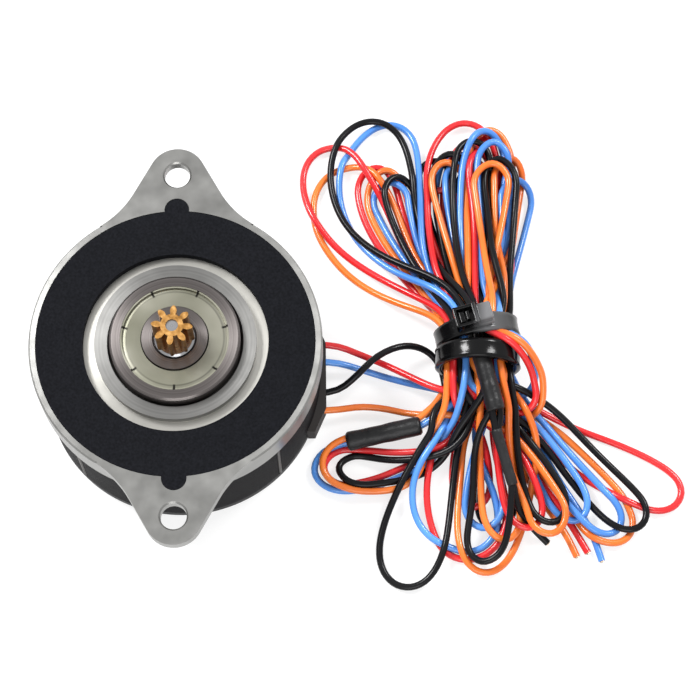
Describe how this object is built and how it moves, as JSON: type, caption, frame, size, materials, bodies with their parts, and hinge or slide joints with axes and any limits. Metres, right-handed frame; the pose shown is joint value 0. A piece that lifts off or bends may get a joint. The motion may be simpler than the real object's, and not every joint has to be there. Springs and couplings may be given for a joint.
{
  "type": "stepper motor",
  "caption": "Round flat two-phase stepper motor with an eared front flange, ball bearings, a small brass pinion and coloured leads folded into a tied bundle.",
  "frame": {"origin": "centre of the rear face, on the shaft's axis", "axes": "+Z along the shaft from the rear face to the pinion; +Y through one mounting ear (the other is on -Y); +X towards the lead exit"},
  "size_m": [0.0806, 0.0661, 0.023],
  "materials": {
    "flange_aluminium": "satin, fine turned",
    "ring_fibre": "matt, fine grain",
    "stack_steel": "dark, laminated",
    "frame_nylon": "matt",
    "copper_winding": "enamelled copper wire",
    "cover_black": "matt black",
    "screw_steel": "blackened",
    "spring_steel": "bright",
    "exit_nylon": "matt grey",
    "bearing_steel": "ground",
    "ball_steel": "polished",
    "cage_nylon": "matt",
    "shield_zinc": "pale yellowish zinc",
    "shaft_steel": "ground",
    "pinion_brass": "cut, bright",
    "rotor_steel": "ground laminations",
    "magnet_nickel": "plated",
    "spacer_brass": "turned",
    "insulation_red": "glossy",
    "insulation_blue": "glossy",
    "insulation_black": "glossy",
    "insulation_orange": "glossy",
    "insulation_bundle": "glossy",
    "tie_nylon": "semi-gloss",
    "sleeve_black": "matt shrunk tube"
  },
  "bodies": {
    "stator": {"front_flange": "flange_aluminium", "front_ring": "ring_fibre", "stator_stack": "stack_steel", "front_insulator": "frame_nylon", "rear_insulator": "frame_nylon", "phase_a_coils": "copper_winding", "phase_b_coils": "copper_winding", "rear_cover": "cover_black", "cover_screws": "screw_steel", "wave_washer": "spring_steel", "lead_exit": "exit_nylon", "front_bearing_outer_ring": "bearing_steel", "front_bearing_shields": "shield_zinc", "rear_bearing_outer_ring": "bearing_steel", "rear_bearing_shields": "shield_zinc", "lead_red": "insulation_red", "lead_blue": "insulation_blue", "lead_black": "insulation_black", "lead_orange": "insulation_orange", "lead_hank": "insulation_bundle", "cable_tie": "tie_nylon", "splice_sleeves": "sleeve_black"},
    "rotor": {"shaft": "shaft_steel", "pinion": "pinion_brass", "front_rotor_cup": "rotor_steel", "rear_rotor_cup": "rotor_steel", "rotor_magnet": "magnet_nickel", "front_spacer": "spacer_brass", "front_bearing_inner_ring": "bearing_steel", "rear_bearing_inner_ring": "bearing_steel"},
    "front_ball_set": {"front_bearing_balls": "ball_steel", "front_bearing_cage": "cage_nylon"},
    "rear_ball_set": {"rear_bearing_balls": "ball_steel", "rear_bearing_cage": "cage_nylon"}
  },
  "joints": [
    {"name": "rotor_spin", "type": "hinge", "parent": "stator", "child": "rotor", "pos_m": [0, 0, 0.0075], "axis": [0, 0, 1], "continuous": true},
    {"name": "front_balls_orbit", "type": "hinge", "parent": "stator", "child": "front_ball_set", "pos_m": [0, 0, 0.01595], "axis": [0, 0, 1], "continuous": true},
    {"name": "rear_balls_orbit", "type": "hinge", "parent": "stator", "child": "rear_ball_set", "pos_m": [0, 0, 0.0033], "axis": [0, 0, 1], "continuous": true}
  ],
  "couplings": [
    {"joint": "front_balls_orbit", "follows": "rotor_spin", "ratio": 0.36829},
    {"joint": "rear_balls_orbit", "follows": "rotor_spin", "ratio": 0.38408}
  ]
}
